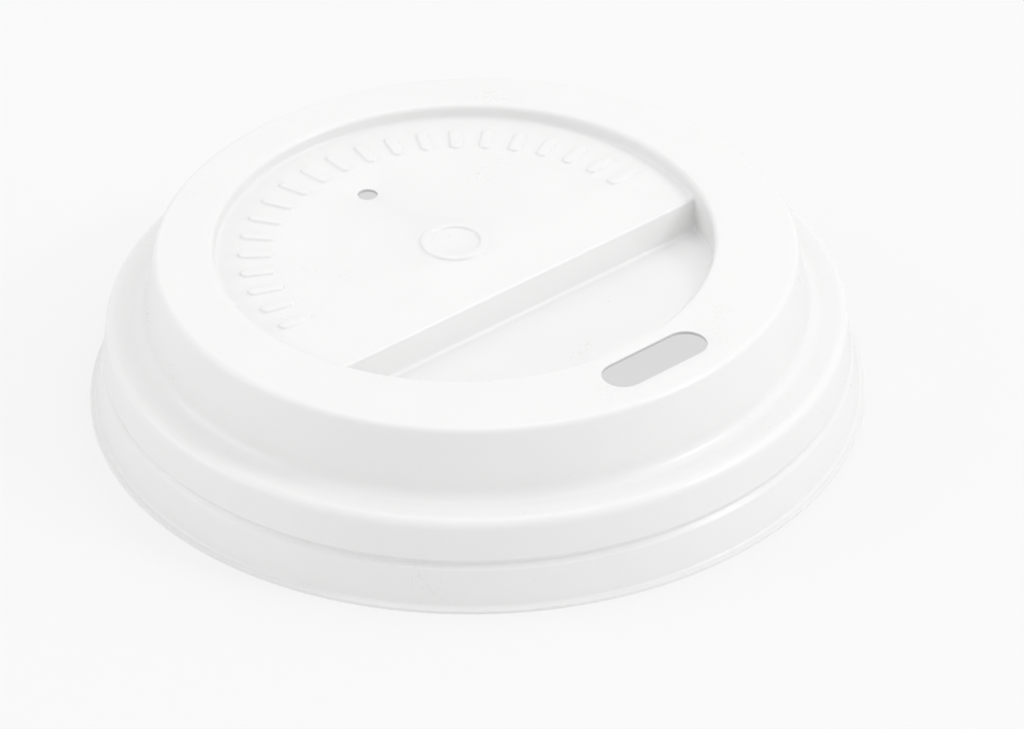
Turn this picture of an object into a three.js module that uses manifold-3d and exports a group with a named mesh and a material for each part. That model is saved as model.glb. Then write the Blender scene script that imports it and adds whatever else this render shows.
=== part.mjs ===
// Sip-through lid for a takeaway hot-drink cup, thermoformed from one sheet of white polystyrene.
// Millimetres, +Z up. The origin is the centre of the hem's underside, and the sip side faces -Y.
import * as THREE from 'three';
import { mergeVertices } from 'three/addons/utils/BufferGeometryUtils.js';
import Module from 'manifold-3d';

// The sheet
const SHEET = 0.4;

// Hem and skirt, from the trimmed edge up to the snap groove
const HEM_RADIUS = 47.0;
const HEM_FLANGE_WIDTH = 0.75;
const HEM_FILLET = 0.4;
const SKIRT_TOP_RADIUS = 45.35;
const SKIRT_TOP_HEIGHT = 5.0;
const GROOVE_DEPTH = 0.45;
const GROOVE_HEIGHT = 5.55;
const GROOVE_FILLET = 0.25;

// The channel that holds the cup's rolled rim: bead wall outside, ledge on top
const BEAD_FOOT_RADIUS = 45.15;
const BEAD_FOOT_HEIGHT = 6.15;
const BEAD_FILLET = 0.45;
const LEDGE_OUTER_RADIUS = 44.55;
const LEDGE_HEIGHT = 11.1;
const LEDGE_FILLET = 1.25;

// Dome wall and rim
const WALL_FOOT_RADIUS = 40.15;
const COVE_FILLET = 1.8;
const RIM_RADIUS = 38.45;
const RIM_HEIGHT = 19.8;
const RIM_FILLET = 0.8;

// Round recess in the top, set back from the sip side
const RECESS_RADIUS = 30.0;
const RECESS_SETBACK = 2.2;
const RECESS_DRAFT = 3.0;
const RECESS_FILLET = 0.75;
const DECK_DEPTH = 1.8;

// Trough for the upper lip: a step down from the deck, and a ramp back up to the rim
const STEP_TOP_Y = -7.6;
const STEP_RUN = 1.0;
const STEP_FILLET = 0.5;
const TROUGH_DEPTH = 5.7;
const TROUGH_FILLET = 0.7;
const RAMP_TOP_Y = -27.9;
const RAMP_FILLET = 4.0;

// Sip slot through the rim, and the vent hole through the deck
const SLOT_LENGTH = 14.7;
const SLOT_WIDTH = 5.1;
const SLOT_TO_RECESS = 1.85;
const VENT_DIAMETER = 2.4;
const VENT_X = -0.9;
const VENT_Y = 19.4;

// Facets
const RING_STEPS = 72;
const SMALL_ARC_STEPS = 2;
const LARGE_ARC_STEPS = 4;
const SLOT_ARC_STEPS = 10;
const VENT_STEPS = 24;

// How far a cutting body runs past the sheet that it cuts
const OVERRUN = 3.0;

const corner = (x, y, radius = 0, steps = SMALL_ARC_STEPS) => ({ x, y, radius, steps });

const direction = (from, to) => new THREE.Vector2(to.x - from.x, to.y - from.y).normalize();

const leftOf = (heading) => new THREE.Vector2(-heading.y, heading.x);

// Moves an outline to its left by a distance. A corner that turns left gets a smaller radius by as
// much, and one that turns right a larger one, so that two skins of one sheet stay parallel.
function offsetLeft(corners, distance) {
  return corners.map((here, index) => {
    const before = corners[index - 1];
    const after = corners[index + 1];
    if (!before || !after) {
      const heading = before ? direction(before, here) : direction(here, after);
      const side = leftOf(heading).multiplyScalar(distance);
      return corner(here.x + side.x, here.y + side.y);
    }
    const arriving = direction(before, here);
    const leaving = direction(here, after);
    const turn = arriving.cross(leaving);
    const miter = leftOf(arriving).add(leftOf(leaving)).normalize();
    const reach = distance / miter.dot(leftOf(leaving));
    const radius = here.radius > 0 ? Math.max(here.radius - Math.sign(turn) * distance, 0) : 0;
    return corner(here.x + miter.x * reach, here.y + miter.y * reach, radius, here.steps);
  });
}

// Turns corners with radii into points, with an arc at each corner that has a radius.
function roundCorners(corners) {
  return corners.flatMap((here, index) => {
    const before = corners[index - 1];
    const after = corners[index + 1];
    if (!before || !after || here.radius === 0) {
      return [new THREE.Vector2(here.x, here.y)];
    }
    const arriving = direction(before, here);
    const leaving = direction(here, after);
    const turn = Math.atan2(arriving.cross(leaving), arriving.dot(leaving));
    const tangent = here.radius * Math.tan(Math.abs(turn) / 2);
    const start = new THREE.Vector2(here.x, here.y).addScaledVector(arriving, -tangent);
    const side = Math.sign(turn) * here.radius;
    const centre = start.clone().addScaledVector(leftOf(arriving), side);
    return Array.from({ length: here.steps + 1 }, (_, step) => (
      start.clone().rotateAround(centre, (turn * step) / here.steps)
    ));
  });
}

const wasm = await Module();
wasm.setup();

// Closed geometry to solid: only the positions are kept, with shared vertices merged.
function toSolid(geometry) {
  const bare = geometry.clone();
  bare.deleteAttribute('normal');
  bare.deleteAttribute('uv');
  const merged = mergeVertices(bare, 1e-5);
  return new wasm.Manifold(new wasm.Mesh({
    numProp: 3,
    vertProperties: new Float32Array(merged.attributes.position.array),
    triVerts: new Uint32Array(merged.index.array),
  }));
}

function toGeometry(solid) {
  const mesh = solid.getMesh();
  const geometry = new THREE.BufferGeometry();
  geometry.setAttribute('position', new THREE.BufferAttribute(mesh.vertProperties, 3));
  geometry.setIndex(new THREE.BufferAttribute(mesh.triVerts, 1));
  geometry.computeVertexNormals();
  return geometry;
}

// Turns (radius, height) points about the Z axis. The points start and end on the axis.
function revolve(points) {
  return new THREE.LatheGeometry(points, RING_STEPS).rotateX(Math.PI / 2);
}

// The formed section from the foot of the skirt up to the centre of the rim, outer skin.
function wallSection(footRadius, footHeight) {
  return [
    corner(footRadius, footHeight),
    corner(HEM_RADIUS - HEM_FLANGE_WIDTH, SHEET, HEM_FILLET),
    corner(SKIRT_TOP_RADIUS, SKIRT_TOP_HEIGHT, BEAD_FILLET),
    corner(BEAD_FOOT_RADIUS - GROOVE_DEPTH, GROOVE_HEIGHT, GROOVE_FILLET),
    corner(BEAD_FOOT_RADIUS, BEAD_FOOT_HEIGHT, BEAD_FILLET),
    corner(LEDGE_OUTER_RADIUS, LEDGE_HEIGHT, LEDGE_FILLET, LARGE_ARC_STEPS),
    corner(WALL_FOOT_RADIUS, LEDGE_HEIGHT, COVE_FILLET, LARGE_ARC_STEPS),
    corner(RIM_RADIUS, RIM_HEIGHT, RIM_FILLET, LARGE_ARC_STEPS),
    corner(0, RIM_HEIGHT),
  ];
}

// The space over the recess floor as seen from one side: deck, step, trough and ramp.
function floorSection(growth) {
  const floor = [
    corner(RIM_RADIUS, RIM_HEIGHT - DECK_DEPTH),
    corner(STEP_TOP_Y, RIM_HEIGHT - DECK_DEPTH, STEP_FILLET),
    corner(STEP_TOP_Y - STEP_RUN, RIM_HEIGHT - TROUGH_DEPTH, TROUGH_FILLET),
    corner(RAMP_TOP_Y, RIM_HEIGHT, RAMP_FILLET, LARGE_ARC_STEPS),
    corner(-RIM_RADIUS, RIM_HEIGHT),
  ];
  const rounded = roundCorners(offsetLeft(floor, growth));
  const crest = rounded[rounded.length - 2];
  return [
    ...rounded.slice(0, -1),
    new THREE.Vector2(crest.x, RIM_HEIGHT + OVERRUN),
    new THREE.Vector2(RIM_RADIUS, RIM_HEIGHT + OVERRUN),
  ];
}

// The recess as a body to cut away. Growth moves its wall and floor out by the sheet's thickness,
// for the underside.
function recessBody(growth) {
  const bottom = RIM_HEIGHT - TROUGH_DEPTH - OVERRUN;
  const narrowing = Math.tan(THREE.MathUtils.degToRad(RECESS_DRAFT)) * (RIM_HEIGHT - bottom);
  const wall = [
    corner(RECESS_RADIUS - narrowing, bottom),
    corner(RECESS_RADIUS, RIM_HEIGHT, RECESS_FILLET, LARGE_ARC_STEPS),
    corner(RIM_RADIUS, RIM_HEIGHT),
  ];
  const rounded = roundCorners(offsetLeft(wall, -growth));
  const lip = rounded[rounded.length - 2];
  const round = revolve([
    new THREE.Vector2(0, rounded[0].y),
    ...rounded.slice(0, -1),
    new THREE.Vector2(lip.x, RIM_HEIGHT + OVERRUN),
    new THREE.Vector2(0, RIM_HEIGHT + OVERRUN),
  ]);
  round.translate(0, RECESS_SETBACK, 0);
  const side = new THREE.ExtrudeGeometry(new THREE.Shape(floorSection(growth)), {
    depth: 2 * RIM_RADIUS,
    bevelEnabled: false,
  });
  side.rotateX(Math.PI / 2).rotateZ(Math.PI / 2).translate(-RIM_RADIUS, 0, 0);
  return toSolid(round).intersect(toSolid(side));
}

// One skin of the lid as a full body, with the recess already taken out of it.
function outerBody() {
  const [, foot, ...rest] = wallSection(HEM_RADIUS, SHEET);
  const section = roundCorners([corner(HEM_RADIUS, SHEET), foot, ...rest]);
  const outline = [new THREE.Vector2(0, 0), new THREE.Vector2(HEM_RADIUS, 0), ...section];
  return toSolid(revolve(outline)).subtract(recessBody(0));
}

function innerBody() {
  const foot = new THREE.Vector2(HEM_RADIUS - HEM_FLANGE_WIDTH, SHEET);
  const top = new THREE.Vector2(SKIRT_TOP_RADIUS, SKIRT_TOP_HEIGHT);
  const below = foot.clone().addScaledVector(direction(foot, top), -OVERRUN);
  const [first, , ...rest] = wallSection(below.x, below.y);
  const section = roundCorners(offsetLeft([first, ...rest], SHEET));
  const outline = [new THREE.Vector2(0, section[0].y), ...section];
  return toSolid(revolve(outline)).subtract(recessBody(SHEET));
}

// The drinking slot, a straight slot with round ends, cut through the rim beside the recess.
function slotBody() {
  const end = SLOT_WIDTH / 2;
  const straight = SLOT_LENGTH / 2 - end;
  const outline = new THREE.Shape();
  outline.absarc(straight, 0, end, -Math.PI / 2, Math.PI / 2);
  outline.absarc(-straight, 0, end, Math.PI / 2, 3 * Math.PI / 2);
  const cutter = new THREE.ExtrudeGeometry(outline, {
    depth: 2 * OVERRUN,
    bevelEnabled: false,
    curveSegments: SLOT_ARC_STEPS,
  });
  const slotY = RECESS_SETBACK - RECESS_RADIUS - SLOT_TO_RECESS - end;
  return toSolid(cutter.translate(0, slotY, RIM_HEIGHT - OVERRUN));
}

function ventBody() {
  const cutter = new THREE.CylinderGeometry(VENT_DIAMETER / 2, VENT_DIAMETER / 2, 2 * OVERRUN, VENT_STEPS);
  return toSolid(cutter.rotateX(Math.PI / 2).translate(VENT_X, VENT_Y, RIM_HEIGHT - DECK_DEPTH));
}

function makeLid() {
  const shell = outerBody().subtract(innerBody());
  const lid = new THREE.Mesh(
    toGeometry(shell.subtract(slotBody()).subtract(ventBody())),
    new THREE.MeshStandardMaterial({ color: 0xf3f3f2, roughness: 0.38, metalness: 0 }),
  );
  lid.name = 'lid';
  return lid;
}

const group = new THREE.Group();
group.add(makeLid());

export default group;
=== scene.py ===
"""A sip-through lid for a takeaway cup, formed from one sheet of white polystyrene, in a pale studio.

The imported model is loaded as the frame. The lid's fine surface is then built over it: the outer skin
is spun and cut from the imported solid's sizes, with slightly tighter fillets in the recess, and is
thickened to the sheet. Chains of edges are kept in order, so that each run cuts the flats into the same
triangles.
"""

from __future__ import annotations

import logging
import math
from dataclasses import dataclass, field
from enum import Enum
from functools import partial
from typing import Any, Callable, Iterable, Sequence

import bmesh
import bpy
import numpy as np
from bmesh.types import BMEdge, BMesh, BMFace, BMVert
from mathutils import Matrix, Vector

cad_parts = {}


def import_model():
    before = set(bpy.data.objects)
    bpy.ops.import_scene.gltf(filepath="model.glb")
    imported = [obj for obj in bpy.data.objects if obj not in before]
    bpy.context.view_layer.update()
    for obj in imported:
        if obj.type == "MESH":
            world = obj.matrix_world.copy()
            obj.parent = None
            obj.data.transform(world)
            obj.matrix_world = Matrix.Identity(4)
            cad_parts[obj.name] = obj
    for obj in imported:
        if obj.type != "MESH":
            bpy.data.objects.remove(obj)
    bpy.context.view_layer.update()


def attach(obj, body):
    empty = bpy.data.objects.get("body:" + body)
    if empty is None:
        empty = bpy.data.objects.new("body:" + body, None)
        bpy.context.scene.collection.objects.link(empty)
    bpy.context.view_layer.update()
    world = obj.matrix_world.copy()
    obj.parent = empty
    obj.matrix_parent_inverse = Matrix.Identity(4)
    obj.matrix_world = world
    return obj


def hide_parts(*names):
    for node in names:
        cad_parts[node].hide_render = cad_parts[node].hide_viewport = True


LOG = logging.getLogger("cup_lid")
MM = 0.001


class Axis(Enum):
    """A direction of the row's frame."""

    Y = (0.0, 1.0, 0.0)
    Z = (0.0, 0.0, 1.0)

    @property
    def vector(self) -> Vector:
        """The axis as a vector."""
        return Vector(self.value)


class SlopeSide(Enum):
    """The side of an outline on which the slope up to something raised lies."""

    OUTSIDE = 1.0
    INSIDE = -1.0


@dataclass(frozen=True)
class Corner:
    """A corner of a section through the sheet.

    x and y are its place, radius its fillet, and steps the number of facets of that fillet.
    """

    x: float
    y: float
    radius: float = 0.0
    steps: int = 8


def heading(start: Corner, end: Corner) -> np.ndarray:
    """The unit vector from one corner to the next."""
    step = np.array([end.x - start.x, end.y - start.y])
    return step / np.hypot(*step)


def rounded(corners: Sequence[Corner], support: float = 0.0) -> np.ndarray:
    """Turns corners into the points of a section, with an arc at each corner that has a radius.

    Args:
        corners: The section's corners in order.
        support: Distance from each end of an arc to one more point on the straight beside it, which
            keeps the shading of the arc off the flat.

    Returns:
        One row of (x, y) for each point.
    """
    points: list[np.ndarray] = []
    for before, here, after in zip((None, *corners), corners, (*corners[1:], None)):
        place = np.array([here.x, here.y])
        if before is None or after is None or here.radius == 0.0:
            points.append(place)
            continue
        arriving, leaving = heading(before, here), heading(here, after)
        turn = math.atan2(arriving[0] * leaving[1] - arriving[1] * leaving[0], arriving @ leaving)
        tangent = here.radius * math.tan(abs(turn) / 2)
        left = np.array([-arriving[1], arriving[0]])
        start = place - arriving * tangent
        centre = start + left * math.copysign(here.radius, turn)
        if support:
            points.append(start - arriving * support)
        for angle in np.linspace(0.0, turn, here.steps + 1):
            c, s = math.cos(angle), math.sin(angle)
            points.append(centre + np.array([[c, -s], [s, c]]) @ (start - centre))
        if support:
            points.append(place + leaving * (tangent + support))
    return np.array(points)


@dataclass(frozen=True)
class SkirtSizes:
    """Hem, skirt, bead channel and dome wall, as radius and height over the hem's underside."""

    sheet: float = 0.4 * MM
    hem_radius: float = 47.0 * MM
    flange_width: float = 0.75 * MM
    skirt_top: tuple[float, float] = (45.35 * MM, 5.0 * MM)
    groove: tuple[float, float] = (44.7 * MM, 5.55 * MM)
    bead_foot: tuple[float, float] = (45.15 * MM, 6.15 * MM)
    ledge_outer: tuple[float, float] = (44.55 * MM, 11.1 * MM)
    wall_foot: tuple[float, float] = (40.15 * MM, 11.1 * MM)
    rim: tuple[float, float] = (38.45 * MM, 19.8 * MM)
    rim_flat_width: float = 2.0 * MM
    flange_fillet: float = 0.4 * MM
    groove_fillet: float = 0.25 * MM
    bead_fillet: float = 0.45 * MM
    ledge_fillet: float = 1.25 * MM
    cove_fillet: float = 1.8 * MM
    rim_fillet: float = 0.8 * MM
    ledge_steps: int = 12
    rim_steps: int = 10

    @property
    def top(self) -> float:
        """Height of the rim's flat top."""
        return self.rim[1]

    def section(self) -> list[Corner]:
        """The outer skin's section.

        Returns:
            Its corners, from the trimmed edge up to the flat of the rim.
        """
        return [
            Corner(self.hem_radius, self.sheet),
            Corner(self.hem_radius - self.flange_width, self.sheet, self.flange_fillet),
            Corner(*self.skirt_top, self.bead_fillet),
            Corner(*self.groove, self.groove_fillet),
            Corner(*self.bead_foot, self.bead_fillet),
            Corner(*self.ledge_outer, self.ledge_fillet, self.ledge_steps),
            Corner(*self.wall_foot, self.cove_fillet, self.ledge_steps),
            Corner(*self.rim, self.rim_fillet, self.rim_steps),
            Corner(self.rim[0] - self.rim_flat_width, self.top),
        ]


@dataclass(frozen=True)
class RecessSizes:
    """The round recess, the step and trough in it, and the ramp back up to the rim."""

    radius: float = 30.0 * MM
    setback: float = 2.2 * MM
    draft: float = math.radians(3.0)
    rim_fillet: float = 0.65 * MM
    foot_fillet: float = 0.55 * MM
    tight_foot: float = 0.1 * MM
    deck_depth: float = 1.8 * MM
    step_y: float = -7.6 * MM
    step_run: float = 1.0 * MM
    trough_depth: float = 5.7 * MM
    ramp_top_y: float = -27.9 * MM
    ramp_fillet: float = 4.0 * MM
    trough_fillet: float = 0.5 * MM
    step_fillet: float = 0.4 * MM
    bend_steps: int = 10
    bend_margin: float = 0.12 * MM

    def floor(self, top: float) -> np.ndarray:
        """The floor's section along Y.

        Args:
            top: Height of the rim.

        Returns:
            Rows of (y, z), from the sip side to the far side.
        """
        reach = 2.0 * self.radius
        deck, trough = top - self.deck_depth, top - self.trough_depth
        corners = [
            Corner(-reach, top),
            Corner(self.ramp_top_y, top, self.ramp_fillet, self.bend_steps),
            Corner(self.step_y - self.step_run, trough, self.trough_fillet, self.bend_steps),
            Corner(self.step_y, deck, self.step_fillet, self.bend_steps),
            Corner(reach, deck),
        ]
        return rounded(corners, support=self.bend_margin)


@dataclass(frozen=True)
class HoleSizes:
    """The sip slot through the rim and the vent through the deck."""

    slot_centre: tuple[float, float] = (0.0, -32.2 * MM)
    slot_length: float = 14.7 * MM
    slot_width: float = 5.1 * MM
    vent_centre: tuple[float, float] = (-0.9 * MM, 19.4 * MM)
    vent_diameter: float = 2.4 * MM
    edge_round: float = 0.08 * MM


@dataclass(frozen=True)
class PipSizes:
    """Plain raised pips in an arc and a raised ring, formed in the deck."""

    height: float = 0.3 * MM
    slope: float = 0.3 * MM
    arc_radius: float = 24.9 * MM
    first: float = math.radians(-1.0)
    last: float = math.radians(177.0)
    count: int = 21
    length: float = 4.4 * MM
    width: float = 1.5 * MM
    ring_centre: tuple[float, float] = (0.3 * MM, 4.2 * MM)
    ring_radius: float = 4.2 * MM
    ring_width: float = 1.2 * MM
    pip_steps: int = 8
    ring_steps: int = 20
    slope_rows: int = 7


def stadium(centre: tuple[float, float], length: float, width: float, angle: float = 0.0,
            grow: float = 0.0, steps: int = 12) -> np.ndarray:
    """The outline of a slot with round ends.

    Args:
        centre: Its middle.
        length: Length over the round ends.
        width: Width across.
        angle: Direction of its length, from +X.
        grow: Distance by which the outline is moved out.
        steps: Facets in each round end.

    Returns:
        One row of (x, y) for each point, anticlockwise.
    """
    radius = width / 2 + grow
    straight = max(length - width, 0.0) / 2
    quarter = math.pi / 2
    turns = np.concatenate([np.linspace(-quarter, quarter, steps + 1),
                            np.linspace(quarter, 3 * quarter, steps + 1)])
    shift = np.repeat([straight, -straight], steps + 1)
    if straight == 0.0:
        turns, shift = np.linspace(0.0, math.tau, 4 * steps, endpoint=False), 0.0
    x, y = shift + radius * np.cos(turns), radius * np.sin(turns)
    c, s = math.cos(angle), math.sin(angle)
    return np.stack([centre[0] + c * x - s * y, centre[1] + s * x + c * y], axis=-1)


@dataclass
class Skin:
    """The lid's outer skin, built face by face and then thickened to the sheet.

    The last fields say how finely it is faceted, and give the small distances that its making needs.
    """

    skirt: SkirtSizes
    recess: RecessSizes
    holes: HoleSizes
    pips: PipSizes
    ring_steps: int = 256
    recess_steps: int = 900
    wall_rows: int = 8
    edge_segments: int = 2
    flat_margin: float = 0.15 * MM
    search_depth: float = 6.0 * MM
    search_steps: int = 40
    slope_reach: float = 0.02 * MM
    foot_reach: float = 0.4 * MM
    foot_squeeze: float = 6.0
    touching: float = 1e-7
    on_ring: float = 1e-6
    merge_distance: float = 0.003 * MM
    steepest_miter: float = 1.4
    sharp_angle: float = math.radians(40)
    bm: BMesh = field(default_factory=bmesh.new)
    floor_line: np.ndarray = field(init=False)

    def __post_init__(self) -> None:
        """Works out the section of the recess floor."""
        self.floor_line = self.recess.floor(self.skirt.top)

    def build(self, name: str) -> bpy.types.Object:
        """Builds the whole lid.

        Args:
            name: The object's name.

        Returns:
            The finished object, at the origin.
        """
        wall_edge = self.spin_wall()
        recess_edge, floor_edge = self.form_recess()
        slot_edge = self.punched(self.holes.slot_centre, self.holes.slot_length, self.holes.slot_width,
                                 self.skirt.top)
        self.fill_flat([*wall_edge, *recess_edge, *slot_edge])
        self.form_floor(floor_edge)
        self.face_outwards()
        self.thicken()
        return self.finish(name)

    def floor_height(self, y: np.ndarray | float) -> np.ndarray:
        """Height of the recess floor at y."""
        return np.interp(y, self.floor_line[:, 0], self.floor_line[:, 1])

    def floor_slope(self, y: np.ndarray, reach: float) -> np.ndarray:
        """Slope of the recess floor along Y, taken over a reach to each side."""
        return (self.floor_height(y + reach) - self.floor_height(y - reach)) / (2 * reach)

    def add_loop(self, points: Iterable[Sequence[float]]) -> list[BMEdge]:
        """Adds a closed chain of edges through the points and returns its edges."""
        verts = [self.bm.verts.new(p) for p in points]
        return [self.bm.edges.new((a, b)) for a, b in zip(verts, (*verts[1:], verts[0]))]

    def spin_wall(self) -> list[BMEdge]:
        """Spins the section from the hem to the rim.

        Returns:
            The edges of the ring on the flat of the rim.
        """
        section = rounded(self.skirt.section(), support=self.flat_margin)
        verts = [self.bm.verts.new((r, 0.0, z)) for r, z in section]
        edges = [self.bm.edges.new(pair) for pair in zip(verts, verts[1:])]
        bmesh.ops.spin(self.bm, geom=[*verts, *edges], cent=(0, 0, 0), axis=Axis.Z.vector,
                       angle=math.tau, steps=self.ring_steps, use_merge=True, use_duplicate=False)
        bmesh.ops.remove_doubles(self.bm, verts=self.bm.verts[:], dist=self.touching)
        inner = section[-1][0]
        return [e for e in self.bm.edges if e.is_boundary
                and all(abs(math.hypot(v.co.x, v.co.y) - inner) < self.on_ring for v in e.verts)]

    def foot_radii(self, angles: np.ndarray) -> np.ndarray:
        """Radius of the fillet at the wall's foot, which tightens where the wall meets the step.

        Args:
            angles: Directions from the recess's centre.

        Returns:
            One radius for each direction.
        """
        rs = self.recess
        y = rs.setback + rs.radius * np.sin(angles)
        fall = self.floor_slope(y, self.foot_reach) * np.sin(angles)
        return np.maximum(rs.foot_fillet / (1.0 + self.foot_squeeze * fall ** 2), rs.tight_foot)

    def ball_contacts(self, angles: np.ndarray) -> tuple[np.ndarray, np.ndarray, np.ndarray]:
        """Rolls a ball of the fillet's radius along the foot of the recess wall.

        Args:
            angles: Directions from the recess's centre.

        Returns:
            For each direction, the radius where the ball touches the floor, the ball's centre
            (radius, height), and the lean of the line from the ball to the wall.
        """
        rs = self.recess
        lip = self.lip_centre()
        ball = self.foot_radii(angles)
        near = np.full_like(angles, rs.radius - self.search_depth)
        far = np.full_like(angles, lip[0])
        for _ in range(self.search_steps):
            contact = (near + far) / 2
            free = self.wall_distance(self.ball_centre(angles, contact, ball)) > ball
            near, far = np.where(free, contact, near), np.where(free, far, contact)
        centre = self.ball_centre(angles, near, ball)
        lean = np.arctan2(lip[0] - centre[:, 0], centre[:, 1] - lip[1])
        return near, centre, np.minimum(lean, math.pi / 2 - rs.draft)

    def lip_centre(self) -> np.ndarray:
        """Finds the fillet between rim and recess wall.

        Returns:
            Its centre, as (radius, height).
        """
        rs = self.recess
        tangent = rs.rim_fillet * math.tan((math.pi / 2 - rs.draft) / 2)
        return np.array([rs.radius + tangent, self.skirt.top - rs.rim_fillet])

    def ball_centre(self, angles: np.ndarray, contact: np.ndarray, ball: np.ndarray) -> np.ndarray:
        """Finds where the ball's centre is while it rests on the floor.

        Args:
            angles: Directions from the recess's centre.
            contact: Radius at which the ball touches the floor, for each direction.
            ball: The ball's own radius, for each direction.

        Returns:
            One row of (radius, height) for each direction.
        """
        y = self.recess.setback + contact * np.sin(angles)
        slope = self.floor_slope(y, self.slope_reach) * np.sin(angles)
        length = np.hypot(slope, 1.0)
        return np.stack([contact - ball * slope / length,
                         self.floor_height(y) + ball / length], axis=-1)

    def wall_distance(self, centre: np.ndarray) -> np.ndarray:
        """Measures how far points in the recess are from its wall.

        Args:
            centre: Rows of (radius, height).

        Returns:
            For each row, the distance to the wall or to the fillet at the wall's top.
        """
        rs = self.recess
        lip = self.lip_centre()
        normal = np.array([-math.cos(rs.draft), math.sin(rs.draft)])
        from_lip = centre - lip
        along = from_lip @ np.array([math.sin(rs.draft), math.cos(rs.draft)])
        return np.where(along > 0, np.hypot(*from_lip.T), from_lip @ normal) - rs.rim_fillet

    def form_recess(self) -> tuple[list[BMEdge], list[BMEdge]]:
        """Forms the recess wall with its two fillets, between the rim and the floor.

        Returns:
            The edges of the ring on the rim, and of the ring on the floor.
        """
        rs, top = self.recess, self.skirt.top
        angles = np.linspace(0.0, math.tau, self.recess_steps, endpoint=False)
        contact, ball, lean = self.ball_contacts(angles)
        lip = self.lip_centre()
        share = np.linspace(0.0, 1.0, self.wall_rows)
        upper = lean[:, None] * share
        lip_arc = np.stack([lip[0] - rs.rim_fillet * np.sin(upper),
                            lip[1] + rs.rim_fillet * np.cos(upper)], axis=-1)
        y = rs.setback + contact * np.sin(angles)
        foot = np.arctan2(contact - ball[:, 0], ball[:, 1] - self.floor_height(y))
        lower = lean[:, None] + (foot - lean)[:, None] * share
        radius = self.foot_radii(angles)[:, None]
        ball_arc = np.stack([ball[:, :1] + radius * np.sin(lower),
                             ball[:, 1:] - radius * np.cos(lower)], axis=-1)
        rim_flat = np.broadcast_to([lip[0] + self.flat_margin, top], (len(angles), 1, 2))
        inner = contact - self.flat_margin
        floor_ring = np.stack([inner, self.floor_height(rs.setback + inner * np.sin(angles))], axis=-1)
        columns = np.concatenate([rim_flat, lip_arc, ball_arc, floor_ring[:, None, :]], axis=1)
        return self.sheet_from_columns(angles, columns)

    def sheet_from_columns(self, angles: np.ndarray,
                           columns: np.ndarray) -> tuple[list[BMEdge], list[BMEdge]]:
        """Bends a grid round the recess's axis and moves its points to the columns.

        Args:
            angles: Direction of each column from the recess's centre.
            columns: For each column, rows of (radius, height) from the rim to the floor.

        Returns:
            The edges of the ring on the rim and of the ring on the floor.
        """
        count, rows = columns.shape[:2]
        made = bmesh.ops.create_grid(self.bm, x_segments=count, y_segments=rows - 1, size=1.0)["verts"]
        for vert in made:
            column = round((vert.co.x + 1.0) / 2 * count) % count
            radius, height = columns[column, round((vert.co.y + 1.0) / 2 * (rows - 1))]
            vert.co = (radius * math.cos(angles[column]),
                       self.recess.setback + radius * math.sin(angles[column]), height)
        seam = [v for v in made if v.is_boundary and v.co.y < self.recess.setback + MM]
        bmesh.ops.remove_doubles(self.bm, verts=seam, dist=self.merge_distance / 10)
        rings = self.separate_loops([e for v in made if v.is_valid for e in v.link_edges if e.is_boundary])
        rings.sort(key=lambda ring: min(v.co.z for e in ring for v in e.verts))
        return rings[1], rings[0]

    def punched(self, centre: tuple[float, float], length: float, width: float,
                height: float) -> list[BMEdge]:
        """Adds the edge of a punched hole.

        Args:
            centre: The hole's middle.
            length: Its length.
            width: Its width.
            height: Height of the flat round it.

        Returns:
            The edges of the hole.
        """
        return self.add_loop((x, y, height) for x, y in stadium(centre, length, width))

    def fill_flat(self, edges: list[BMEdge]) -> None:
        """Fills the flat between closed chains of edges."""
        bmesh.ops.triangle_fill(self.bm, use_beauty=True, use_dissolve=False, edges=edges,
                                normal=Axis.Z.vector)

    def form_floor(self, ring: list[BMEdge]) -> None:
        """Fills the recess floor, cuts it along its bends and sets the cuts to the floor's height.

        Args:
            ring: The edges round the floor.
        """
        floor = [self.bm.faces.new(self.ordered(ring))]
        for y in self.floor_line[1:-1, 0]:
            if y < self.recess.setback - self.recess.radius:
                continue
            geom = [*floor, *(e for f in floor for e in f.edges), *(v for f in floor for v in f.verts)]
            cut = bmesh.ops.bisect_plane(self.bm, geom=list(dict.fromkeys(geom)), dist=self.touching,
                                         plane_co=(0, y, 0), plane_no=Axis.Y.vector)
            floor = [item for item in cut["geom"] if isinstance(item, BMFace)]
            for vert in (item for item in cut["geom_cut"] if isinstance(item, BMVert)):
                vert.co.z = float(self.floor_height(vert.co.y))
        deck = max(floor, key=lambda face: face.calc_center_bounds().y)
        self.emboss(deck, self.skirt.top - self.recess.deck_depth)

    @staticmethod
    def ordered(edges: list[BMEdge]) -> list[BMVert]:
        """Walks round a closed chain of edges.

        Args:
            edges: The edges in any order.

        Returns:
            Their points in order.
        """
        links: dict[BMVert, list[BMVert]] = {}
        for edge in edges:
            a, b = edge.verts
            links.setdefault(a, []).append(b)
            links.setdefault(b, []).append(a)
        start = edges[0].verts[0]
        chain, previous, here = [start], None, start
        while True:
            onward = next(v for v in links[here] if v is not previous)
            if onward is start:
                return chain
            chain.append(onward)
            previous, here = here, onward

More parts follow.
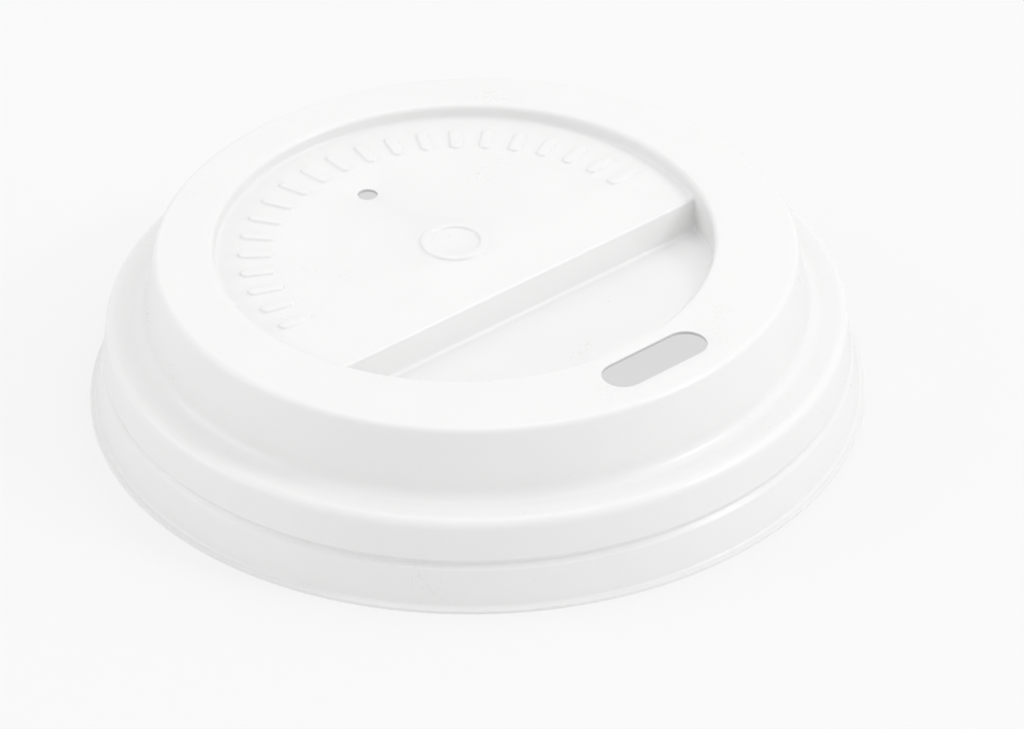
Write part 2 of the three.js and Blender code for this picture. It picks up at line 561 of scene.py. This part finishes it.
    def emboss(self, deck: BMFace, height: float) -> None:
        """Replaces the flat deck by one with raised pips, a ring and the vent.

        Args:
            deck: The flat face.
            height: Its height.
        """
        outer = list(deck.edges)
        bmesh.ops.delete(self.bm, geom=[deck], context="FACES_ONLY")
        ps, hs = self.pips, self.holes
        holes = self.punched(hs.vent_centre, hs.vent_diameter, hs.vent_diameter, height)
        for angle in np.linspace(ps.first, ps.last, ps.count):
            centre = (ps.arc_radius * math.cos(angle),
                      self.recess.setback + ps.arc_radius * math.sin(angle))
            pip = partial(stadium, centre, ps.length, ps.width, angle, steps=ps.pip_steps)
            rings = self.raised_rings(pip, height, SlopeSide.OUTSIDE)
            holes += rings[0]
            self.fill_flat(rings[-1])
        outside = partial(stadium, ps.ring_centre, 0.0, 2 * ps.ring_radius, 0.0, steps=ps.ring_steps)
        inside = partial(stadium, ps.ring_centre, 0.0, 2 * (ps.ring_radius - ps.ring_width), 0.0,
                         steps=ps.ring_steps)
        outer_ring = self.raised_rings(outside, height, SlopeSide.OUTSIDE)
        inner_ring = self.raised_rings(inside, height, SlopeSide.INSIDE)
        holes += outer_ring[0]
        self.fill_flat([*outer_ring[-1], *inner_ring[-1]])
        self.fill_flat(inner_ring[0])
        self.fill_flat([*outer, *holes])

    def raised_rings(self, outline: Callable[[float], np.ndarray], height: float,
                     side: SlopeSide) -> list[list[BMEdge]]:
        """Makes the soft slope round something raised, as bridged rings.

        Args:
            outline: Makes the outline at a given growth.
            height: Height of the flat that it rises from.
            side: The side of the outline on which the slope lies.

        Returns:
            The edges of each ring, from the flat up.
        """
        rings = []
        for share in np.linspace(0.0, 1.0, self.pips.slope_rows):
            rise = self.pips.height * (1 - math.cos(math.pi * share)) / 2
            points = outline(side.value * self.pips.slope * (0.5 - share))
            rings.append(self.add_loop((x, y, height + rise) for x, y in points))
        for lower, upper in zip(rings, rings[1:]):
            bmesh.ops.bridge_loops(self.bm, edges=[*lower, *upper])
        return rings

    def face_outwards(self) -> None:
        """Turns every face the same way, up and out."""
        bmesh.ops.remove_doubles(self.bm, verts=self.bm.verts[:], dist=self.merge_distance)
        bmesh.ops.dissolve_degenerate(self.bm, dist=self.merge_distance, edges=self.bm.edges[:])
        bmesh.ops.triangulate(self.bm, faces=[f for f in self.bm.faces if len(f.verts) > 4])
        bmesh.ops.recalc_face_normals(self.bm, faces=self.bm.faces[:])
        highest = max(self.bm.faces, key=lambda f: (f.calc_center_median().z, f.calc_area()))
        if highest.normal.z < 0:
            bmesh.ops.reverse_faces(self.bm, faces=self.bm.faces[:])

    def thicken(self) -> None:
        """Lays the second skin inside the first, and closes the two at the trimmed edges."""
        trimmed = [e for e in self.bm.edges if e.is_boundary]
        made = bmesh.ops.duplicate(self.bm, geom=[*self.bm.verts, *self.bm.edges, *self.bm.faces])
        faces = [item for item in made["geom"] if isinstance(item, BMFace)]
        verts = [item for item in made["geom"] if isinstance(item, BMVert)]
        self.bm.normal_update()
        for vert in verts:
            depth = self.skirt.sheet * min(vert.calc_shell_factor(), self.steepest_miter)
            vert.co -= vert.normal * depth
        bmesh.ops.reverse_faces(self.bm, faces=faces)
        twins = made["edge_map"]
        for loop in self.separate_loops(trimmed):
            bmesh.ops.bridge_loops(self.bm, edges=[*loop, *(twins[edge] for edge in loop)])
        bmesh.ops.bevel(self.bm, geom=trimmed, offset=self.holes.edge_round,
                        segments=self.edge_segments, affect="EDGES", profile=0.5, material=-1)
        self.bm.normal_update()

    @staticmethod
    def separate_loops(edges: list[BMEdge]) -> list[list[BMEdge]]:
        """Sorts edges into closed chains.

        Args:
            edges: The edges of all the chains.

        Returns:
            The edges of each chain. No two chains share a vertex.
        """
        left = dict.fromkeys(edges)
        loops = []
        while left:
            front = [next(iter(left))]
            del left[front[0]]
            loop = []
            while front:
                edge = front.pop()
                loop.append(edge)
                for near in (e for v in edge.verts for e in v.link_edges if e in left):
                    del left[near]
                    front.append(near)
            loops.append(loop)
        return loops

    def finish(self, name: str) -> bpy.types.Object:
        """Writes the mesh to an object with smooth faces and sharp trimmed edges.

        Args:
            name: The object's name.

        Returns:
            The object.
        """
        mesh = bpy.data.meshes.new(name)
        self.bm.to_mesh(mesh)
        self.bm.free()
        mesh.shade_smooth()
        mesh.set_sharp_from_angle(angle=self.sharp_angle)
        obj = bpy.data.objects.new(name, mesh)
        bpy.context.scene.collection.objects.link(obj)
        return obj


class Sock:
    """A shader socket that takes part in Python arithmetic by adding Math nodes."""

    def __init__(self, graph: Graph, socket: bpy.types.NodeSocket) -> None:
        """Wraps a socket of a graph."""
        self.graph = graph
        self.socket = socket

    def _math(self, operation: str, *values: Any) -> Sock:
        """Adds a Math node on the values."""
        return self.graph.node("ShaderNodeMath", {"operation": operation}, dict(enumerate(values)))

    def __add__(self, other: Any) -> Sock:
        """Sum."""
        return self._math("ADD", self, other)

    def __mul__(self, other: Any) -> Sock:
        """Product."""
        return self._math("MULTIPLY", self, other)

    __radd__ = __add__
    __rmul__ = __mul__


def grey(level: float) -> tuple[float, float, float, float]:
    """An opaque grey of the given level."""
    return (level, level, level, 1.0)


class Graph:
    """The node graph of a material or world, filled through one method."""

    def __init__(self, tree: bpy.types.NodeTree) -> None:
        """Starts from an empty tree."""
        self.tree = tree
        tree.nodes.clear()

    def node(self, kind: str, settings: dict[str, Any] | None = None,
             inputs: dict[Any, Any] | None = None, output: int | str = 0) -> Sock:
        """Adds a node.

        Args:
            kind: The node's type.
            settings: Attributes that are set first.
            inputs: Values or sockets for its inputs, by name or number.
            output: The output to return.

        Returns:
            The wrapped output socket.
        """
        node = self.tree.nodes.new(kind)
        for key, value in (settings or {}).items():
            setattr(node, key, value)
        for key, value in (inputs or {}).items():
            if isinstance(value, Sock):
                self.tree.links.new(value.socket, node.inputs[key])
            else:
                node.inputs[key].default_value = value
        return Sock(self, node.outputs[output])

    def end(self, kind: str, surface: Sock) -> None:
        """Adds the output node and links the surface to it."""
        node = self.tree.nodes.new(kind)
        self.tree.links.new(surface.socket, node.inputs["Surface"])


@dataclass(frozen=True)
class FormedStyrene:
    """Satin white polystyrene sheet, a little translucent, with a fine tool grain."""

    colour: tuple[float, float, float] = (0.93, 0.93, 0.927)
    shade: float = 0.012
    roughness: float = 0.3
    roughness_range: float = 0.08
    index: float = 1.55
    grain_size: float = 0.35 * MM
    grain_depth: float = 0.002 * MM
    grain_detail: float = 3.0
    wave_size: float = 9.0 * MM
    wave_depth: float = 0.03 * MM
    wave_detail: float = 2.0
    glow: float = 0.14

    def material(self) -> bpy.types.Material:
        """Builds the material and returns it."""
        material = bpy.data.materials.new("formed_styrene")
        material.use_nodes = True
        graph = Graph(material.node_tree)
        place = graph.node("ShaderNodeTexCoord", output="Object")
        grain = graph.node("ShaderNodeTexNoise", {"noise_dimensions": "3D"},
                           {"Vector": place, "Scale": 1 / self.grain_size,
                            "Detail": self.grain_detail})
        waves = graph.node("ShaderNodeTexNoise", {"noise_dimensions": "3D"},
                           {"Vector": place, "Scale": 1 / self.wave_size, "Detail": self.wave_detail})
        tint = waves * (2 * self.shade) + (1 - self.shade)
        colour = graph.node("ShaderNodeVectorMath", {"operation": "SCALE"},
                            {0: self.colour, "Scale": tint})
        roughness = grain * self.roughness_range + waves * self.roughness_range \
            + (self.roughness - self.roughness_range)
        swell = graph.node("ShaderNodeBump", inputs={"Height": waves, "Distance": self.wave_depth,
                                                     "Strength": 1.0})
        bump = graph.node("ShaderNodeBump", inputs={"Height": grain, "Distance": self.grain_depth,
                                                    "Strength": 1.0, "Normal": swell})
        sheet = graph.node("ShaderNodeBsdfPrincipled", inputs={
            "Base Color": colour, "Roughness": roughness, "IOR": self.index, "Normal": bump})
        through = graph.node("ShaderNodeBsdfTranslucent", inputs={"Color": colour, "Normal": bump})
        graph.end("ShaderNodeOutputMaterial",
                  graph.node("ShaderNodeMixShader", inputs={0: self.glow, 1: sheet, 2: through}))
        return material


@dataclass(frozen=True)
class StudioFloor:
    """A pale floor that shows to the camera as the photograph's background."""

    level: float = 0.94
    bounce: float = 0.85
    shown: float = 0.72

    def material(self) -> bpy.types.Material:
        """Builds the material and returns it."""
        material = bpy.data.materials.new("studio_floor")
        material.use_nodes = True
        graph = Graph(material.node_tree)
        path = "ShaderNodeLightPath"
        direct = graph.node("ShaderNodeMath", {"operation": "MAXIMUM"}, {
            0: graph.node(path, output="Is Camera Ray"), 1: graph.node(path, output="Is Glossy Ray")})
        seen = graph.node("ShaderNodeMath", {"operation": "MAXIMUM"}, {
            0: direct, 1: graph.node(path, output="Is Transmission Ray")})
        matt = graph.node("ShaderNodeBsdfDiffuse", inputs={"Color": grey(self.bounce)})
        plain = graph.node("ShaderNodeEmission", inputs={"Color": grey(self.level)})
        graph.end("ShaderNodeOutputMaterial",
                  graph.node("ShaderNodeMixShader", inputs={0: seen * self.shown, 1: matt, 2: plain}))
        return material


@dataclass
class Lid:
    """The lid itself, in its one sheet."""

    skirt: SkirtSizes = field(default_factory=SkirtSizes)
    recess: RecessSizes = field(default_factory=RecessSizes)
    holes: HoleSizes = field(default_factory=HoleSizes)
    pips: PipSizes = field(default_factory=PipSizes)
    finish: FormedStyrene = field(default_factory=FormedStyrene)

    def build(self) -> bpy.types.Object:
        """Models and dresses the lid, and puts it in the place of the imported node.

        Returns:
            The finished piece.
        """
        piece = Skin(self.skirt, self.recess, self.holes, self.pips).build("formed_lid")
        piece.data.materials.append(self.finish.material())
        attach(piece, "root")
        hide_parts("lid")
        return piece


@dataclass(frozen=True)
class AreaLamp:
    """One soft lamp, aimed at the lid. Its azimuth is counted from the camera's side, to its right."""

    name: str
    azimuth: float
    elevation: float
    size: float
    power: float
    distance: float = 0.9

    def build(self, target: Vector, turn: float) -> None:
        """Adds the lamp.

        Args:
            target: The point that it is aimed at.
            turn: Direction of the camera's side, from -Y.
        """
        data = bpy.data.lights.new(self.name, "AREA")
        data.shape = "DISK"
        data.size = self.size
        data.energy = self.power
        lamp = bpy.data.objects.new(self.name, data)
        flat = math.cos(self.elevation) * self.distance
        around = turn + self.azimuth
        offset = Vector((flat * math.sin(around), -flat * math.cos(around),
                         math.sin(self.elevation) * self.distance))
        lamp.location = target + offset
        lamp.rotation_euler = (-offset).to_track_quat("-Z", "Y").to_euler()
        bpy.context.scene.collection.objects.link(lamp)


@dataclass
class Studio:
    """Floor, lamps, world and camera."""

    view_turn: float = math.radians(39.94)
    elevation: float = math.radians(34.372)
    roll: float = math.radians(-0.788)
    distance: float = 670.5 * MM
    side_shift: float = 4.12 * MM
    up_shift: float = 2.03 * MM
    focal_pixels: float = 5522.0
    frame_width: float = 1024.0
    sensor_width: float = 36.0
    clip_start: float = 0.01
    floor_size: float = 3.0
    floor_gap: float = 0.03 * MM
    world_level: float = 0.825
    shown_level: float = 0.956
    aim_height: float = 0.01
    floor_finish: StudioFloor = field(default_factory=StudioFloor)
    lamps: tuple[AreaLamp, ...] = (
        AreaLamp("wide_key", math.radians(95), math.radians(38), size=0.9, power=1.1),
        AreaLamp("accent", math.radians(80), math.radians(39), size=0.2, power=1.1),
        AreaLamp("overhead", math.radians(150), math.radians(75), size=0.8, power=1.25),
        AreaLamp("left_fill", math.radians(-90), math.radians(25), size=0.6, power=1.15),
    )

    def build(self) -> None:
        """Builds the studio round the lid."""
        self.lay_floor()
        self.light()
        self.place_camera()
        scene = bpy.context.scene
        scene.view_settings.view_transform = "Standard"

    def lay_floor(self) -> None:
        """Lays the floor under the lid."""
        bm = bmesh.new()
        under_hem = Matrix.Translation((0.0, 0.0, -self.floor_gap))
        bmesh.ops.create_grid(bm, x_segments=1, y_segments=1, size=self.floor_size, matrix=under_hem)
        mesh = bpy.data.meshes.new("floor")
        bm.to_mesh(mesh)
        bm.free()
        floor = bpy.data.objects.new("floor", mesh)
        floor.data.materials.append(self.floor_finish.material())
        bpy.context.scene.collection.objects.link(floor)

    def light(self) -> None:
        """Sets the world's level and adds the lamps."""
        world = bpy.data.worlds.new("studio")
        world.use_nodes = True
        bpy.context.scene.world = world
        graph = Graph(world.node_tree)
        seen = graph.node("ShaderNodeLightPath", output="Is Camera Ray")
        around = graph.node("ShaderNodeBackground",
                            inputs={"Color": grey(1.0), "Strength": self.world_level})
        shown = graph.node("ShaderNodeBackground",
                           inputs={"Color": grey(1.0), "Strength": self.shown_level})
        graph.end("ShaderNodeOutputWorld",
                  graph.node("ShaderNodeMixShader", inputs={0: seen, 1: around, 2: shown}))
        for lamp in self.lamps:
            lamp.build(Vector((0.0, 0.0, self.aim_height)), -self.view_turn)

    def place_camera(self) -> None:
        """Places the camera where the photograph was taken from."""
        turn = Matrix.Rotation(-self.view_turn, 3, "Z")
        c, s = math.cos(self.elevation), math.sin(self.elevation)
        forward = turn @ Vector((0.0, c, -s))
        right = turn @ Vector((1.0, 0.0, 0.0))
        up = right.cross(forward)
        tilt_c, tilt_s = math.cos(self.roll), math.sin(self.roll)
        across = right * tilt_c + up * tilt_s
        upright = up * tilt_c - right * tilt_s
        data = bpy.data.cameras.new("camera")
        data.sensor_width = self.sensor_width
        data.lens = self.focal_pixels / self.frame_width * data.sensor_width
        data.clip_start = self.clip_start
        camera = bpy.data.objects.new("camera", data)
        place = across * self.side_shift + upright * self.up_shift - forward * self.distance
        basis = Matrix((across, upright, -forward)).transposed()
        camera.matrix_world = Matrix.Translation(place) @ basis.to_4x4()
        bpy.context.scene.collection.objects.link(camera)
        bpy.context.scene.camera = camera


def main() -> None:
    """Loads the frame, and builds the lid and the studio."""
    logging.basicConfig(level=logging.INFO, format="%(name)s: %(message)s")
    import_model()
    lid = Lid().build()
    lid.data.calc_loop_triangles()
    LOG.info("%s: %d triangles", lid.name, len(lid.data.loop_triangles))
    Studio().build()
    LOG.info("studio: floor, lamps and camera")


if __name__ == "__main__":
    main()
